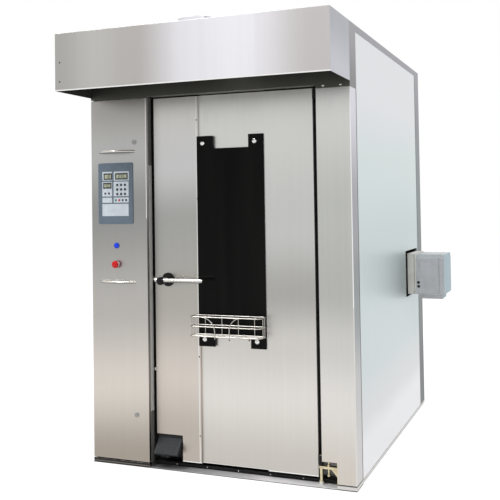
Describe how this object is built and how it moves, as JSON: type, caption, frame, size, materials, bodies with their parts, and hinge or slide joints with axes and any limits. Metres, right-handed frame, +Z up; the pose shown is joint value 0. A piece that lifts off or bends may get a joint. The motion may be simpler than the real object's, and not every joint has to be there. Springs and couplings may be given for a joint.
{
  "type": "rotating rack oven",
  "caption": "Tall brushed-steel rack oven with a windowed hinged door, front canopy, control column, side burner and powered rack hanger.",
  "frame": {"origin": "centre of the body's footprint, on the floor (the canopy and the burner stand outside it)", "axes": "+Z up; -Y out of the front, where the door and canopy are; +X to the side with the burner"},
  "size_m": [1.732, 2.24, 2.509],
  "materials": {
    "satin_steel": "brushed",
    "dull_steel": "dull rolled sheet",
    "heat_steel": "heat tinted",
    "wool": "mineral wool",
    "motor_paint": "enamel",
    "dark_plastic": "moulded",
    "burner_cast": "textured paint",
    "burner_cover": "satin paint",
    "zinc_plate": "yellow zinc plate",
    "white_plastic": "turned nylon",
    "lamp_glass": "frosted",
    "dark_steel": "matt black",
    "seal": "silicone",
    "dark_glass": "tinted, black border",
    "clear_glass": "clear",
    "chrome": "polished",
    "black_plastic": "phenolic",
    "pedal_rubber": "ribbed",
    "panel_blue": "satin film",
    "panel_pale": "printed film",
    "display": "lcd window",
    "keys": "domed keys",
    "blue_cap": "moulded",
    "red_cap": "moulded"
  },
  "bodies": {
    "oven": {"base_pan": "dull_steel", "front_sill": "satin_steel", "left_side_panel": "satin_steel", "right_side_panel": "satin_steel", "rear_panel": "satin_steel", "corner_trims": "satin_steel", "roof_panel": "satin_steel", "upper_front_panel": "dull_steel", "canopy_hood": "satin_steel", "control_cabinet": "dull_steel", "contactor_panel": "dark_plastic", "front_right_panel": "satin_steel", "front_frame": "dull_steel", "chamber_left_wall": "dull_steel", "chamber_right_wall": "dull_steel", "chamber_rear_wall": "dull_steel", "chamber_ceiling": "dull_steel", "chamber_floor": "dull_steel", "insulation": "wool", "heat_exchanger": "heat_steel", "steam_generator": "dull_steel", "steam_outlet_pipe": "dull_steel", "roof_motors": "motor_paint", "burner_flange": "burner_cast", "burner_body": "burner_cover", "hinge_brackets": "zinc_plate", "strike_rollers": "white_plastic", "chamber_lamp": "lamp_glass"},
    "door": {"left_door_panel": "satin_steel", "centre_door_panel": "satin_steel", "right_door_panel": "satin_steel", "door_frame": "dark_steel", "door_inner_panel": "satin_steel", "door_gasket": "seal", "outer_glass": "dark_glass", "inner_glass": "clear_glass", "glass_bolts": "chrome", "wire_basket": "chrome", "handle_rose": "black_plastic", "pedal_bracket": "dark_steel"},
    "door_lever": {"handle_hub": "black_plastic", "handle_lever": "chrome", "latch_spindle": "chrome"},
    "lower_latch": {"lower_latch_hook": "chrome"},
    "latch_link": {"latch_link_rod": "dull_steel"},
    "pedal": {"foot_pedal": "pedal_rubber"},
    "service_door": {"service_door_panel": "satin_steel", "bow_handles": "chrome", "control_panel_plate": "panel_blue", "panel_insets": "panel_pale", "panel_displays": "display", "keypad_keys": "keys", "button_bezels": "chrome"},
    "upper_lock": {"upper_cam_lock": "chrome"},
    "lower_lock": {"lower_cam_lock": "chrome"},
    "start_cap": {"start_button": "blue_cap"},
    "stop_cap": {"stop_button": "red_cap"},
    "rack_drive": {"rack_hanger": "chrome"},
    "circulation_fan": {"fan_wheel": "dull_steel"},
    "steam_flap": {"damper_flap": "chrome"}
  },
  "joints": [
    {"name": "door_swing", "type": "hinge", "parent": "oven", "child": "door", "pos_m": [0.555, -0.905, 0], "axis": [0, 0, 1], "range_deg": [0, 110]},
    {"name": "door_lever_turn", "type": "hinge", "parent": "door", "child": "door_lever", "pos_m": [-0.3, -0.95, 1.015], "axis": [0, 1, 0], "range_deg": [0, 90]},
    {"name": "lower_latch_turn", "type": "hinge", "parent": "door", "child": "lower_latch", "pos_m": [-0.3, -0.95, 0.522], "axis": [0, 1, 0], "range_deg": [0, 90]},
    {"name": "latch_link_turn", "type": "hinge", "parent": "door_lever", "child": "latch_link", "pos_m": [-0.27, -0.95, 1.015], "axis": [0, 1, 0], "range_deg": [-90, 0]},
    {"name": "pedal_press", "type": "hinge", "parent": "door", "child": "pedal", "pos_m": [-0.302, -0.88, 0.164], "axis": [1, 0, 0], "range_deg": [0, 15], "stiffness_Nm_per_rad": 4, "springref_deg": -20.05},
    {"name": "service_door_swing", "type": "hinge", "parent": "oven", "child": "service_door", "pos_m": [-0.74, -0.94, 0], "axis": [0, 0, -1], "range_deg": [0, 110]},
    {"name": "upper_lock_turn", "type": "hinge", "parent": "service_door", "child": "upper_lock", "pos_m": [-0.476, -0.95, 1.77], "axis": [0, -1, 0], "range_deg": [0, 90]},
    {"name": "lower_lock_turn", "type": "hinge", "parent": "service_door", "child": "lower_lock", "pos_m": [-0.476, -0.95, 0.279], "axis": [0, -1, 0], "range_deg": [0, 90]},
    {"name": "start_press", "type": "slide", "parent": "service_door", "child": "start_cap", "axis": [0, 1, 0], "range_m": [0, 0.004], "stiffness_N_per_m": 400, "springref_m": -0.004},
    {"name": "stop_press", "type": "slide", "parent": "service_door", "child": "stop_cap", "axis": [0, 1, 0], "range_m": [0, 0.005], "stiffness_N_per_m": 500, "springref_m": -0.004},
    {"name": "rack_drive_spin", "type": "hinge", "parent": "oven", "child": "rack_drive", "pos_m": [0.079, -0.191, 0], "axis": [0, 0, 1], "continuous": true},
    {"name": "circulation_fan_spin", "type": "hinge", "parent": "oven", "child": "circulation_fan", "pos_m": [0.079, 0.59, 0], "axis": [0, 0, 1], "continuous": true},
    {"name": "steam_flap_turn", "type": "hinge", "parent": "oven", "child": "steam_flap", "pos_m": [0.4, -0.65, 2.363], "axis": [1, 0, 0], "range_deg": [0, 90]}
  ],
  "couplings": [
    {"joint": "lower_latch_turn", "follows": "door_lever_turn", "ratio": 1},
    {"joint": "latch_link_turn", "follows": "door_lever_turn", "ratio": -1}
  ]
}
